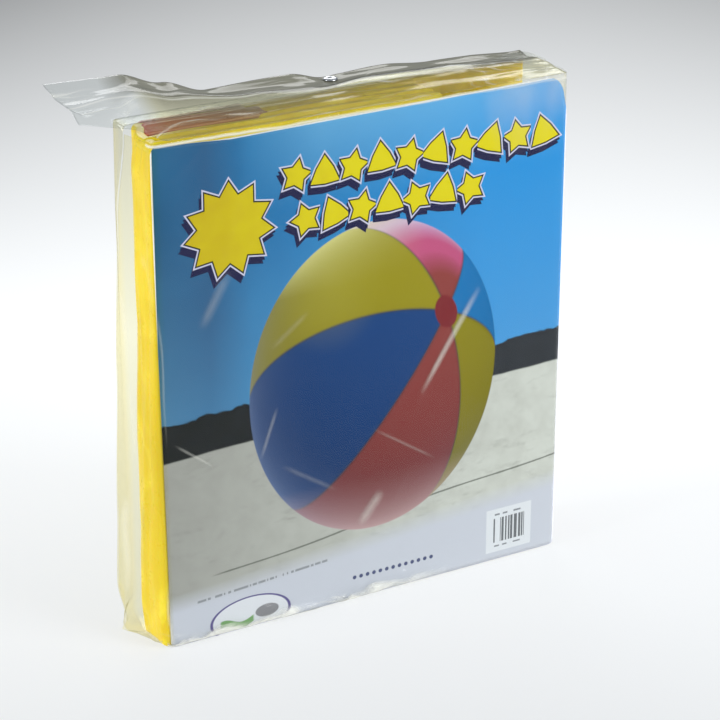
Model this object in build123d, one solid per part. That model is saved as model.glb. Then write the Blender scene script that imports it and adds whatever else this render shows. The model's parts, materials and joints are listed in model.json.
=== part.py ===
from build123d import *

import os

# Giant inflatable beach ball as it is sold: folded flat, with its printed card, in a clear film bag.
#
# The bag stands on its base. It is a flat tube of film, so where its mouth is folded back over the top
# and snapped down, the width that the ball doesn't fill sticks out at the left as an ear. Inside, the
# six welded panels (gores) of the ball lie folded into flat leaves. Both welded pole patches are there,
# and the top one, with the inflation valve, lies in a pocket at the right end of the top.
#
# Frame: millimetres, +X to the right along the card, -Y out of the card's printed face, +Z up.
# The origin is in the middle of the bag's base, on the surface that it stands on.

# --- Driving dimensions -----------------------------------------------------------------------------
CARD_WIDTH = 305.0
CARD_HEIGHT = 354.0
CARD_THICK = 0.4
CARD_CORNER = 4.0
DEPTH = 56.0  # outside of the bag, front to back
FILM = 0.4
GAP = 0.3  # between loose pieces that lie on each other
LEAF = 8.0  # outer leaves of the folded ball
LEFT_WRAP = 8.0  # fold of the first yellow gore round the left edge
STACK_LEFT, STACK_RIGHT = -156.0, 151.0
STACK_BOTTOM, STACK_TOP = 1.0, 355.0
LEAF_ROUND = 2.6  # rounding along the folds
SLACK = 1.6  # between the film's outside and the ball's leaves
RED_END = -21.0  # the red and pink leaves show at the top from the left end to here

# Bag outline, seen from the front
BAG_TOP = 357.0
BAG_LEFT_TOP, BAG_LEFT_MID, BAG_LEFT_LOW = -159.0, -171.0, -177.0
BAG_LEFT_MID_Z, BAG_LEFT_LOW_Z = 200.0, 45.0
BASE_LEFT, BASE_RIGHT = -158.0, 149.0
BAG_RIGHT_LOW, BAG_RIGHT_LOW_Z, BAG_RIGHT_TOP = 158.0, 14.0, 156.0
WELD_WIDTH = 4.0
WELD_LOW, WELD_HIGH = 75.0, 345.0

# Folded mouth of the bag
RIDGE_Y, RIDGE_Z = 8.0, 361.3  # hinge line of the fold
FLAP_THICK = 2 * FILM
FLAP_BACK = 33.0
FLAP_RIGHT = 150.0
EAR_TIP, EAR_TIP_Z = -200.0, 386.0
EAR_ROOT, EAR_ROOT_Z = -150.0, 381.0
EAR_START = -50.0
RIDGE_GAP, RIDGE_DROP = 0.8, 0.3  # the slope of the front film stops short of the fold, and a little under it
LIP_RISE, LIP_GAP = 0.5, 1.6  # of the back film's lip, over the bag's top and behind the fold

# Snap fastener
SNAP_Y = 22.4
SNAP_R, SNAP_HEIGHT, SNAP_ROUND = 5.0, 1.7, 1.3
PRESSED_R, PRESSED_THICK = 4.7, 0.6
STUD_R, STUD_HEIGHT, STUD_HOLE_R = 1.9, 2.3, 1.4
SOCKET_DEPTH, SOCKET_HOLE_R = 1.8, 2.3
RIVET_R, SHANK_R, SHANK_DEPTH = 1.3, 1.2, 0.3
FILM_HOLE_R = 1.5

# Valve, in its pocket at the right end of the top
POCKET_LEFT, POCKET_FLOOR = 60.0, 280.0
VALVE_X = 105.0
PATCH_LENGTH, PATCH_HEIGHT, PATCH_ROUND = 84.0, 34.0, 5.0
CAVITY_R, CAVITY_DEPTH = 10.5, 32.0
FLANGE_R, FLANGE_THICK = 16.0, 1.5
STEM_R, STEM_BORE_R, STEM_LENGTH, STEM_PLAY = 7.0, 4.2, 20.0, 0.3
STEM_ABOVE = 10.3  # of the stem stands above the flange
LIP_R, LIP_HEIGHT = 8.2, 1.5
CAP_R, CAP_THICK, CAP_ROUND = 8.0, 2.0, 0.7
PLUG_TOP_R, PLUG_NOSE_R, PLUG_DEPTH = 3.9, 3.2, 5.5
TETHER_REACH, TETHER_WIDTH, TETHER_EAR = 13.0, 6.0, 12.4
CHECK_R, CHECK_THICK, CHECK_HINGE = 5.8, 0.8, 6.2

# Pieces behind the ball
POLE_PATCH_R, SHEET_THICK = 55.0, 0.5
POLE_PATCH_X, POLE_PATCH_Z = -30.0, 175.0
REPAIR_SIDE, REPAIR_STEP, REPAIR_THICK, REPAIR_CORNER = 42.0, 47.0, 0.3, 5.0
REPAIR_X, REPAIR_Z = 30.0, 60.0

# --- Derived sizes ----------------------------------------------------------------------------------
FRONT, BACK = -DEPTH / 2, DEPTH / 2
STACK_FRONT, STACK_BACK = FRONT + SLACK, BACK - SLACK
INNER_FRONT, INNER_BACK = STACK_FRONT + LEAF, STACK_BACK - LEAF
INNER_LEFT = STACK_LEFT + LEFT_WRAP + GAP
INNER_LEAF = (INNER_BACK - INNER_FRONT - 5 * GAP) / 4
COVERED_TOP = STACK_TOP - LEAF - GAP  # top of the leaves that the yellow gore folds over
LIP_Z = BAG_TOP + LIP_RISE
FLANGE_Z = POCKET_FLOOR + GAP + PATCH_HEIGHT + GAP
FLANGE_TOP = FLANGE_Z + FLANGE_THICK
STEM_TOP = FLANGE_TOP + STEM_ABOVE
STEM_BOTTOM = STEM_TOP - STEM_LENGTH


def box_between(low, high):
    """A box from its lowest corner to its highest."""
    size = [b - a for a, b in zip(low, high)]
    middle = [(a + b) / 2 for a, b in zip(low, high)]
    return Pos(*middle) * Box(*size)


def prism(outline, y_from, y_to):
    """A face drawn in X and Z, pulled from y_from to y_to."""
    return Pos(0, y_from, 0) * extrude(outline, amount=y_to - y_from, dir=(0, 1, 0))


def disc(radius, low, high, x=0.0, y=0.0):
    """An upright cylinder between two heights."""
    return Pos(x, y, (low + high) / 2) * Cylinder(radius, high - low)


def soft(solid, radius=LEAF_ROUND):
    """Rounds every edge, as a fold of thick film is round."""
    return fillet(solid.edges(), radius)


def bag_outline():
    """Outside of the bag seen from the front: it bulges at the left, where the ball leaves it slack."""
    left_top = (BAG_LEFT_TOP, BAG_TOP)
    left_low = (BAG_LEFT_LOW, BAG_LEFT_LOW_Z)
    right_low = (BAG_RIGHT_LOW, BAG_RIGHT_LOW_Z)
    right_top = (BAG_RIGHT_TOP, BAG_TOP)
    corner = (BAG_LEFT_LOW + 5, BAG_LEFT_LOW_Z * 0.45)
    edges = [
        ThreePointArc(left_top, (BAG_LEFT_MID, BAG_LEFT_MID_Z), left_low),
        ThreePointArc(left_low, corner, (BASE_LEFT, 0)),
        Line((BASE_LEFT, 0), (BASE_RIGHT, 0)),
        ThreePointArc((BASE_RIGHT, 0), (BAG_RIGHT_LOW - 2.2, 4.0), right_low),
        Line(right_low, right_top),
        Line(right_top, left_top),
    ]
    return Plane.XZ * make_face(edges)


def film_tray(y_wall, y_rim):
    """Half of the bag: one wall with its side returns, open at the top and towards the other half."""
    outside = bag_outline()
    inside = offset(outside, amount=-FILM, kind=Kind.INTERSECTION)
    inward = 1 if y_rim > y_wall else -1
    low, high = sorted((y_wall, y_rim))
    hollow_low, hollow_high = sorted((y_wall + inward * FILM, y_rim))
    shell = prism(outside, low, high) - prism(inside, hollow_low, hollow_high)
    mouth = box_between(
        (BAG_LEFT_TOP + 0.6, hollow_low, BAG_TOP - 2), (BAG_RIGHT_TOP - FILM, hollow_high, BAG_TOP + 1)
    )
    return shell - mouth


def side_welds(y_low):
    """Flat welded edges that stand out at both sides, where the two halves of the bag are joined."""
    outside = bag_outline()
    ring = offset(outside, amount=WELD_WIDTH) - offset(outside, amount=-FILM, kind=Kind.INTERSECTION)
    strip = prism(ring, y_low, y_low + FILM)
    keep = box_between((-200, y_low - 1, WELD_LOW), (200, y_low + 1, WELD_HIGH))
    return strip & keep


def bag_front_film():
    """Front half: the wall before the card, the whole base, and the slope over the top to the ridge."""
    tray = film_tray(FRONT, -FILM / 2)
    base = box_between((BASE_LEFT, FRONT, 0), (BASE_RIGHT, BACK, FILM))
    end_y, end_z = RIDGE_Y - RIDGE_GAP, RIDGE_Z - RIDGE_DROP
    slope = Plane.YZ * make_face(
        Polyline(
            (FRONT, BAG_TOP - FILM),
            (FRONT, BAG_TOP),
            (end_y, end_z),
            (end_y, end_z - FILM),
            close=True,
        )
    )
    over = Pos(BAG_LEFT_TOP, 0, 0) * extrude(slope, amount=BAG_RIGHT_TOP - BAG_LEFT_TOP, dir=(1, 0, 0))
    return tray + base + over + side_welds(-FILM * 1.5)


def bag_back_film():
    """Back half: its wall, its side returns, and the lip under the flap, which carries the snap's stud."""
    tray = film_tray(BACK, FILM / 2)
    bottom = box_between((BASE_LEFT - GAP, -1, -1), (BASE_RIGHT + GAP, BACK + 1, FILM + GAP))
    rise = box_between((BAG_LEFT_TOP, BACK - FILM, BAG_TOP - 1), (BAG_RIGHT_TOP, BACK, LIP_Z + FILM))
    lip = box_between((BAG_LEFT_TOP, RIDGE_Y + LIP_GAP, LIP_Z), (BAG_RIGHT_TOP, BACK, LIP_Z + FILM))
    hole = disc(FILM_HOLE_R, LIP_Z - 1, LIP_Z + 1, y=SNAP_Y)
    return tray - bottom + rise + lip + side_welds(FILM / 2) - hole


def closure_flap_film():
    """Mouth of the bag, two films thick, folded back from the ridge, with the ear at its left end."""
    low = RIDGE_Z - FLAP_THICK / 2
    curve = Spline(
        (EAR_START, low),
        (EAR_ROOT, EAR_ROOT_Z - FLAP_THICK),
        (EAR_TIP, EAR_TIP_Z - FLAP_THICK),
        tangents=((-1, 0), (-1, 0.05)),
    )
    under = Curve() + [Line((FLAP_RIGHT, low), (EAR_START, low)), curve]
    upper = Pos(0, FLAP_THICK) * under
    ends = [
        Line((FLAP_RIGHT, low), (FLAP_RIGHT, low + FLAP_THICK)),
        Line((EAR_TIP, EAR_TIP_Z - FLAP_THICK), (EAR_TIP, EAR_TIP_Z)),
    ]
    profile = Plane.XZ * make_face([*under.edges(), *upper.edges(), *ends])
    hole = disc(FILM_HOLE_R, low - 1, low + 2, y=SNAP_Y)
    return prism(profile, RIDGE_Y, FLAP_BACK) - hole


def snap_fastener():
    """The four pressed pieces of the snap: cap and socket on the flap, stud and post on the lip."""
    lip_top = LIP_Z + FILM
    flap_low = RIDGE_Z - FLAP_THICK / 2
    flap_top = RIDGE_Z + FLAP_THICK / 2
    post = disc(PRESSED_R, LIP_Z - PRESSED_THICK, LIP_Z)
    post += disc(RIVET_R, LIP_Z - PRESSED_THICK, lip_top + PRESSED_THICK)
    stud = disc(PRESSED_R, lip_top, lip_top + PRESSED_THICK) + disc(STUD_R, lip_top, lip_top + STUD_HEIGHT)
    stud -= disc(STUD_HOLE_R, lip_top - 1, lip_top + STUD_HEIGHT + 1)
    socket = disc(PRESSED_R, flap_low - SOCKET_DEPTH, flap_low)
    socket -= disc(SOCKET_HOLE_R, flap_low - SOCKET_DEPTH - 1, flap_low + 1)
    button = disc(SNAP_R, flap_top, flap_top + SNAP_HEIGHT)
    dome = fillet(button.edges().group_by(Axis.Z)[-1], SNAP_ROUND)
    cap = dome + disc(SHANK_R, flap_low - SHANK_DEPTH, flap_top)
    pieces = {"snap_post": post, "snap_stud": stud, "snap_socket": socket, "snap_cap": cap}
    return {name: Pos(0, SNAP_Y, 0) * piece for name, piece in pieces.items()}


def card_insert():
    """Printed card between the front film and the ball."""
    middle = FRONT + FILM + GAP + CARD_THICK / 2 + 0.1
    card = Pos(0, middle, STACK_BOTTOM + CARD_HEIGHT / 2) * Box(CARD_WIDTH, CARD_THICK, CARD_HEIGHT)
    return fillet(card.edges().filter_by(Axis.Y), CARD_CORNER)


def gore_yellow_a():
    """Outermost gore: the front leaf, folded round the left edge and back over the top."""
    front = box_between(
        (STACK_LEFT, STACK_FRONT, STACK_BOTTOM), (STACK_RIGHT, INNER_FRONT, STACK_TOP)
    )
    wrap = box_between(
        (STACK_LEFT, STACK_FRONT, STACK_BOTTOM), (STACK_LEFT + LEFT_WRAP, STACK_BACK, STACK_TOP)
    )
    over_blue = box_between(
        (STACK_LEFT, STACK_FRONT, STACK_TOP - LEAF), (POCKET_LEFT, -GAP, STACK_TOP)
    )
    over_all = box_between(
        (RED_END + GAP, STACK_FRONT, STACK_TOP - LEAF), (POCKET_LEFT, INNER_BACK - GAP, STACK_TOP)
    )
    return soft(front + wrap + over_blue + over_all)


def gore_yellow_b():
    """Second yellow gore: the back leaf."""
    return soft(
        box_between((INNER_LEFT, INNER_BACK, STACK_BOTTOM), (STACK_RIGHT, STACK_BACK, STACK_TOP))
    )


def inner_leaf(place, shows_at_top):
    """One of the four leaves between the yellow ones, stepped down at the right for the pocket."""
    y_low = INNER_FRONT + GAP + place * (INNER_LEAF + GAP)
    right = STACK_RIGHT - 1
    steps = [
        (INNER_LEFT, STACK_BOTTOM),
        (right, STACK_BOTTOM),
        (right, POCKET_FLOOR),
        (POCKET_LEFT - GAP, POCKET_FLOOR),
        (POCKET_LEFT - GAP, COVERED_TOP),
    ]
    if shows_at_top:
        steps += [(RED_END, COVERED_TOP), (RED_END, STACK_TOP), (INNER_LEFT, STACK_TOP)]
    else:
        steps += [(INNER_LEFT, COVERED_TOP)]
    outline = Plane.XZ * make_face(Polyline(*steps, close=True))
    return soft(prism(outline, y_low, y_low + INNER_LEAF))


def pole_patch_top():
    """Welded patch at the ball's top pole, puffed up round the hollow that the valve is pushed into."""
    low = POCKET_FLOOR + GAP
    high = low + PATCH_HEIGHT
    width = 4 * INNER_LEAF
    pad = extrude(Pos(VALVE_X, 0, low) * SlotOverall(PATCH_LENGTH, width), amount=PATCH_HEIGHT)
    pad = fillet(pad.edges().group_by(Axis.Z)[-1], PATCH_ROUND)
    return pad - disc(CAVITY_R, high - CAVITY_DEPTH, high + 1, x=VALVE_X)


def valve_flange():
    """Plate of the valve, welded to the patch, which guides the stem."""
    ring = disc(FLANGE_R, FLANGE_Z, FLANGE_TOP, x=VALVE_X)
    return ring - disc(STEM_R + STEM_PLAY, FLANGE_Z - 1, FLANGE_TOP + 1, x=VALVE_X)


def valve_stem():
    """Soft tube that the ball is blown up through, with a rim and the ear that the plug's tether turns on."""
    tube = disc(STEM_R, STEM_BOTTOM, STEM_TOP, x=VALVE_X) + disc(
        LIP_R, STEM_TOP - LIP_HEIGHT, STEM_TOP, x=VALVE_X
    )
    ear = box_between(
        (VALVE_X - TETHER_EAR, -TETHER_WIDTH / 2, STEM_TOP - LIP_HEIGHT),
        (VALVE_X - STEM_R, TETHER_WIDTH / 2, STEM_TOP),
    )
    return tube + ear - disc(STEM_BORE_R, STEM_BOTTOM - 1, STEM_TOP + 1, x=VALVE_X)


def valve_plug():
    """Cap with a tapered plug, on a tether strap that folds at the stem's ear."""
    low = STEM_TOP + GAP
    cap = disc(CAP_R, low, low + CAP_THICK, x=VALVE_X)
    cap = fillet(cap.edges().group_by(Axis.Z)[-1], CAP_ROUND)
    nose = Pos(VALVE_X, 0, low - PLUG_DEPTH / 2) * Cone(PLUG_NOSE_R, PLUG_TOP_R, PLUG_DEPTH)
    strap = box_between(
        (VALVE_X - TETHER_REACH, -TETHER_WIDTH / 2, low + 0.3),
        (VALVE_X - CAP_R + 2, TETHER_WIDTH / 2, low + CAP_THICK - 0.4),
    )
    return cap + nose + strap


def check_flap():
    """Disc that lets air in and shuts the stem's lower end, hinged at its left edge."""
    top = STEM_BOTTOM - 0.2
    return disc(CHECK_R, top - CHECK_THICK, top, x=VALVE_X - CHECK_HINGE + CHECK_R)


def pole_patch_bottom():
    """Round patch welded over the ball's other pole, lying flat on the back leaf."""
    low = STACK_BACK + GAP
    ring = Pos(POLE_PATCH_X, low + SHEET_THICK / 2, POLE_PATCH_Z) * Rot(90, 0, 0)
    return ring * Cylinder(POLE_PATCH_R, SHEET_THICK)


def repair_patches():
    """Three loose squares of film for mending, slipped in behind the ball."""
    low = STACK_BACK + GAP
    square = fillet(Box(REPAIR_SIDE, REPAIR_THICK, REPAIR_SIDE).edges().filter_by(Axis.Y), REPAIR_CORNER)
    places = [Pos(REPAIR_X + n * REPAIR_STEP, low + REPAIR_THICK / 2, REPAIR_Z) for n in range(3)]
    return Compound(children=[place * square for place in places])


def pieces():
    """Every node's name and its solid."""
    found = {
        "bag_front_film": bag_front_film(),
        "bag_back_film": bag_back_film(),
        "closure_flap_film": closure_flap_film(),
        "card_insert": card_insert(),
        "gore_yellow_a": gore_yellow_a(),
        "gore_yellow_b": gore_yellow_b(),
        "pole_patch_top": pole_patch_top(),
        "pole_patch_bottom": pole_patch_bottom(),
        "valve_flange": valve_flange(),
        "valve_stem": valve_stem(),
        "valve_plug": valve_plug(),
        "check_flap": check_flap(),
        "repair_patches": repair_patches(),
    }
    leaves = {"gore_blue_a": False, "gore_blue_b": False, "gore_red": True, "gore_pink": True}
    for place, (name, shows_at_top) in enumerate(leaves.items()):
        found[name] = inner_leaf(place, shows_at_top)
    found.update(snap_fastener())
    return found


os.makedirs("parts", exist_ok=True)
for node, shape in pieces().items():
    export_step(shape, f"parts/{node}.step")
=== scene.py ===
"""Looks of a giant beach ball, folded flat behind its printed card in a clear film bag.

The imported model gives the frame: where each piece is, and which body it moves with. This script gives the pieces
their real surfaces: thin wrinkled film, soft folded vinyl, printed card and plated metal.
"""

import json
import math

import bmesh
import bpy
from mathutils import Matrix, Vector, noise


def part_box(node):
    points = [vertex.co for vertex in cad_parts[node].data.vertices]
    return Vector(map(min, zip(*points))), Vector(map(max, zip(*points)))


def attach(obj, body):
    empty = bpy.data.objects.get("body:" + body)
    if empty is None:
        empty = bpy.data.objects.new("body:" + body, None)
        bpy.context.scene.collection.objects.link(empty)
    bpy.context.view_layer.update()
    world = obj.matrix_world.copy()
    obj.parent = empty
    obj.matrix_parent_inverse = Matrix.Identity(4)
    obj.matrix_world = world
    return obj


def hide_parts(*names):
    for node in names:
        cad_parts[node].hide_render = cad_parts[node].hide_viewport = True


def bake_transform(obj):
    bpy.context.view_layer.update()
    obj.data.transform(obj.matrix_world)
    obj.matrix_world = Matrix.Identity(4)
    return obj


bl_info = {
    "name": "Folded beach ball pack",
    "version": (1, 0, 0),
    "blender": (4, 5, 0),
    "location": "3D View > Sidebar > Beach Ball",
    "description": "Builds a folded beach ball in its film bag around its packed model",
    "category": "Add Mesh",
}

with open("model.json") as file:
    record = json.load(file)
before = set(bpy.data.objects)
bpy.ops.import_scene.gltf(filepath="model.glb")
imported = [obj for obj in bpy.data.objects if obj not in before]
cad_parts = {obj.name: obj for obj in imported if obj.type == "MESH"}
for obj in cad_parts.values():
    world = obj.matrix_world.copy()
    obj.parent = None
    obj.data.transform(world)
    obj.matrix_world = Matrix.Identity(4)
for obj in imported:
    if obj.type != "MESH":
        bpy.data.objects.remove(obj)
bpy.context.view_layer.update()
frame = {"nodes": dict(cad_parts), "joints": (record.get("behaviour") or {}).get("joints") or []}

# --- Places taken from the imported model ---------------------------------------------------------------
MM = 0.001
FRONT_FILM, BACK_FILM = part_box("bag_front_film"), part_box("bag_back_film")
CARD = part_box("card_insert")
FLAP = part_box("closure_flap_film")
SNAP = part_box("snap_cap")
JOINTS = {joint["name"]: joint for joint in frame["joints"]}
RIDGE_Y, RIDGE_Z = JOINTS["closure_flap_hinge"]["pos_m"][1:]
WALL_FRONT, WALL_BACK = FRONT_FILM[0].y, BACK_FILM[1].y
HALF_CARD = CARD[1].x
BAG_TOP = BACK_FILM[1].z - 0.9 * MM


# --- Settings a user may change -----------------------------------------------------------------------
def length(name, description, default):
    return bpy.props.FloatProperty(
        name=name, description=description, default=default, unit="LENGTH", precision=5
    )


def colour(name, description, default):
    return bpy.props.FloatVectorProperty(
        name=name, description=description, default=default, subtype="COLOR", size=3, min=0, max=1
    )


def srgb(code):
    """Linear colour of a six-figure web colour."""
    parts = [int(code[i : i + 2], 16) / 255 for i in (0, 2, 4)]
    return tuple(p / 12.92 if p <= 0.04045 else ((p + 0.055) / 1.055) ** 2.4 for p in parts)


class FilmSettings(bpy.types.PropertyGroup):
    """Clear film of the bag."""

    thickness: length("Thickness", "Thickness of one film", 0.25 * MM)
    wall_waves: length("Wall waves", "Height of the waves of the walls", 0.9 * MM)
    mouth_waves: length("Mouth waves", "Height of the waves of the folded mouth", 2.4 * MM)
    tint: colour("Tint", "Light that one film lets through", (0.955, 0.96, 0.945))


class BallSettings(bpy.types.PropertyGroup):
    """Folded vinyl of the ball."""

    yellow: colour("Yellow", "First and fourth gore", srgb("F4DA1E"))
    blue: colour("Blue", "Second and third leaf", srgb("2458B4"))
    red: colour("Red", "Red gore and bottom patch", srgb("D22A26"))
    pink: colour("Pink", "Pink gore", srgb("E0506E"))
    printed_pale: colour("Printed pale pink", "Pink gore of the picture, far from the cap", (0.68, 0.47, 0.76))
    printed_pink: colour("Printed pink", "Pink gore of the picture, nearer the cap", (0.60, 0.10, 0.25))
    printed_yellow: colour("Printed yellow", "Yellow gores of the picture", (0.35, 0.30, 0.004))
    printed_blue: colour("Printed blue", "Blue gores of the picture", (0.002, 0.058, 0.245))
    printed_red: colour("Printed red", "Red gore of the picture", (0.31, 0.054, 0.05))
    fold_depth: length("Fold depth", "How far the folds stand out at a leaf's edges", 1.3 * MM)


class PrintSettings(bpy.types.PropertyGroup):
    """Inks of the card."""

    # The left sky ink is darker partly for the picture's own sky and partly as painted shade, the light on the card
    # falling off to the left.
    sky_left: colour("Sky, left", "Shaded left part of the sky", (0.012, 0.099, 0.237))
    sky_right: colour("Sky, right", "Bright right part of the sky", (0.012, 0.282, 0.745))
    sand: colour("Sand", "Beach", (0.64, 0.66, 0.635))
    hills: colour("Hills", "Dark band behind the beach", (0.005, 0.008, 0.009))
    panel: colour("Panel", "Pale foot of the card", (0.60, 0.625, 0.73))
    shapes: colour("Shapes", "Sun, stars and pennants", (0.78, 0.67, 0.003))


class StageSettings(bpy.types.PropertyGroup):
    """Floor, lights and camera."""

    floor_glow: bpy.props.FloatProperty(
        name="Floor glow", description="Light that the floor gives off by itself", default=0.92, min=0
    )
    camera_place: bpy.props.FloatVectorProperty(
        name="Camera", description="Place of the camera", default=(-0.7888, -1.3801, 0.8428), unit="LENGTH"
    )
    camera_aim: bpy.props.FloatVectorProperty(
        name="Aim", description="Point that the camera looks at", default=(0.0056, -0.0070, 0.1704), unit="LENGTH"
    )
    lens: bpy.props.FloatProperty(name="Lens", description="Focal length in millimetres", default=126.5)


# --- Formulas in materials ----------------------------------------------------------------------------
class Field:
    """A number that a material works out at each point, so that a pattern reads as a formula."""

    def __init__(self, tree, socket):
        self.tree, self.socket = tree, socket

    def work(self, operation, *others, clamp=False):
        node = self.tree.nodes.new("ShaderNodeMath")
        node.operation, node.use_clamp = operation, clamp
        for entry, value in zip(node.inputs, (self, *others)):
            plug(self.tree, value, entry)
        return Field(self.tree, node.outputs[0])

    def __add__(self, other):
        return self.work("ADD", other)

    def __sub__(self, other):
        return self.work("SUBTRACT", other)

    def __mul__(self, other):
        return self.work("MULTIPLY", other)

    def __truediv__(self, other):
        return self.work("DIVIDE", other)

    def __neg__(self):
        return self.work("MULTIPLY", -1)

    __radd__, __rmul__ = __add__, __mul__

    def __rsub__(self, other):
        return (-self) + other

    def size(self):
        return self.work("ABSOLUTE")

    def root(self):
        return self.work("SQRT")

    def floor(self):
        return self.work("FLOOR")

    def sine(self):
        return self.work("SINE")

    def cosine(self):
        return self.work("COSINE")

    def power(self, other):
        return self.work("POWER", other)

    def least(self, other):
        return self.work("MINIMUM", other)

    def most(self, other):
        return self.work("MAXIMUM", other)

    def share(self):
        """Held between 0 and 1."""
        return self.work("ADD", 0, clamp=True)

    def under(self, edge, soft=0.25):
        """1 where the number is under edge, 0 over it, and a slope as wide as soft between."""
        return ((edge - self) / soft + 0.5).share()


def plug(tree, value, entry):
    """Gives a socket its value: a field, another socket, or a plain number."""
    if isinstance(value, Field):
        tree.links.new(value.socket, entry)
    elif isinstance(value, bpy.types.NodeSocket):
        tree.links.new(value, entry)
    elif entry.type == "RGBA" and len(value) == 3:
        entry.default_value = (*value, 1)
    else:
        entry.default_value = value


def blank_material(name):
    material = bpy.data.materials.new(name)
    material.use_nodes = True
    tree = material.node_tree
    tree.nodes.clear()
    return material, tree, tree.nodes.new("ShaderNodeOutputMaterial")


def place_fields(tree):
    """X, Y and Z on the piece in millimetres, and the plain vector in metres."""
    place = tree.nodes.new("ShaderNodeTexCoord").outputs["Object"]
    split = tree.nodes.new("ShaderNodeSeparateXYZ")
    tree.links.new(place, split.inputs[0])
    return *(Field(tree, socket) * 1000 for socket in split.outputs), place


def stretched(tree, place, stretch):
    """The place vector, scaled along each axis."""
    node = tree.nodes.new("ShaderNodeMapping")
    node.inputs["Scale"].default_value = stretch
    tree.links.new(place, node.inputs["Vector"])
    return node.outputs[0]


def grain(tree, place, scale, detail=3.0, roughness=0.5, distortion=0.0):
    """Noise between 0 and 1."""
    node = tree.nodes.new("ShaderNodeTexNoise")
    for key, value in {"Scale": scale, "Detail": detail, "Roughness": roughness, "Distortion": distortion}.items():
        node.inputs[key].default_value = value
    tree.links.new(place, node.inputs["Vector"])
    return Field(tree, node.outputs[0])


def chance(tree, number):
    """An unchanging random number between 0 and 1 for each whole number."""
    node = tree.nodes.new("ShaderNodeTexWhiteNoise")
    node.noise_dimensions = "1D"
    plug(tree, number, node.inputs["W"])
    return Field(tree, node.outputs["Value"])


def lay(tree, below, above, share):
    """One colour laid over another."""
    node = tree.nodes.new("ShaderNodeMix")
    node.data_type = "RGBA"
    plug(tree, share, node.inputs[0])
    plug(tree, below, node.inputs[6])
    plug(tree, above, node.inputs[7])
    return node.outputs[2]


def bumped(tree, height, strength, distance):
    node = tree.nodes.new("ShaderNodeBump")
    node.inputs["Strength"].default_value = strength
    node.inputs["Distance"].default_value = distance
    plug(tree, height, node.inputs["Height"])
    return node.outputs[0]


def surface(tree, output, **settings):
    """The usual glossy surface, with settings by socket name."""
    shader = tree.nodes.new("ShaderNodeBsdfPrincipled")
    for key, value in settings.items():
        plug(tree, value, shader.inputs[key.replace("_", " ")])
    tree.links.new(shader.outputs[0], output.inputs[0])
    return shader


# --- Mesh helpers -------------------------------------------------------------------------------------
def waves(x, y, z, seed):
    """Smooth noise between about -1 and 1."""
    return noise.noise(Vector((x, y, z + seed * 17.3)))


def mix(a, b, share):
    return a + (b - a) * share


def eased(value, low, high):
    """0 below low, 1 above high, and a smooth rise between."""
    t = min(max((value - low) / (high - low), 0), 1)
    return t * t * (3 - 2 * t)


def curve_value(points, at):
    """Height at one place of a smooth line through a few points, given from left to right."""
    if at <= points[0][0]:
        return points[0][1]
    for (a, low), (b, high) in zip(points, points[1:]):
        if at <= b:
            return mix(low, high, eased(at, a, b))
    return points[-1][1]


def along(points, share):
    """The point part of the way along a chain of points, by length."""
    lengths = [(b - a).length for a, b in zip(points, points[1:])]
    left = min(max(share, 0), 1) * sum(lengths)
    for (a, b), reach in zip(zip(points, points[1:]), lengths):
        if left <= reach:
            return a.lerp(b, left / reach)
        left -= reach
    return points[-1]


def softened(points, share, reach=0.012):
    """As along, with the corners of the chain rounded."""
    return sum((along(points, share + step * reach) for step in (-1, -0.5, 0, 0.5, 1)), Vector((0, 0))) / 5


def grid(columns, rows, place):
    """A sheet whose point at u and v, each from 0 to 1, goes to place(u, v)."""
    shape = bmesh.new()
    bmesh.ops.create_grid(shape, x_segments=columns, y_segments=rows, size=0.5)
    for vert in shape.verts:
        vert.co = place(vert.co.x + 0.5, vert.co.y + 0.5)
    return shape


def turned(steps, rows, place):
    """A closed shape round an upright axis: place(angle, v) runs from one pole to the other as v goes from 0 to 1."""
    shape = grid(steps, rows, lambda u, v: place(u * math.tau, v))
    bmesh.ops.remove_doubles(shape, verts=shape.verts, dist=0.005 * MM)
    return shape


def spaced(share, even):
    """Spreads points along one side of a pad: evenly, or closer together towards both ends."""
    return share if even else 0.5 - 0.5 * math.cos(math.pi * share)


def pad(low, high, radius, cuts, thin=1):
    """A closed block with rounded edges, finely divided, with even divisions along its thin axis."""
    shape = bmesh.new()
    bmesh.ops.create_cube(shape, size=1)
    bmesh.ops.subdivide_edges(shape, edges=shape.edges, cuts=cuts, use_grid_fill=True)
    size = Vector(high) - Vector(low)
    inner_low = Vector(a + radius for a in low)
    inner_high = Vector(b - radius for b in high)
    for vert in shape.verts:
        at = Vector(
            low[i] + size[i] * spaced(vert.co[i] + 0.5, i == thin) for i in range(3)
        )
        core = Vector(min(max(at[i], inner_low[i]), inner_high[i]) for i in range(3))
        out = at - core
        vert.co = core + out.normalized() * radius if out.length > 1e-9 else at
    return shape


def finished(name, shape, material, body, slot, replaced=(), thickness=None, smooth=True):
    """Turns a mesh into a piece of the object."""
    if thickness is None:
        bmesh.ops.recalc_face_normals(shape, faces=shape.faces)
    mesh = bpy.data.meshes.new(name)
    shape.to_mesh(mesh)
    shape.free()
    mesh.materials.append(material)
    for face in mesh.polygons:
        face.use_smooth = smooth
    piece = bpy.data.objects.new(name, mesh)
    bpy.context.scene.collection.objects.link(piece)
    if thickness:
        wall = piece.modifiers.new("thickness", "SOLIDIFY")
        wall.thickness, wall.offset, wall.use_even_offset = thickness, 0, False
    if body:
        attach(piece, body)
    if replaced:
        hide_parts(*replaced)
    return piece


def joined(*shapes):
    """Several meshes as one."""
    whole = bmesh.new()
    for shape in shapes:
        part = bpy.data.meshes.new("part")
        shape.to_mesh(part)
        shape.free()
        whole.from_mesh(part)
        bpy.data.meshes.remove(part)
    return whole


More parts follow.
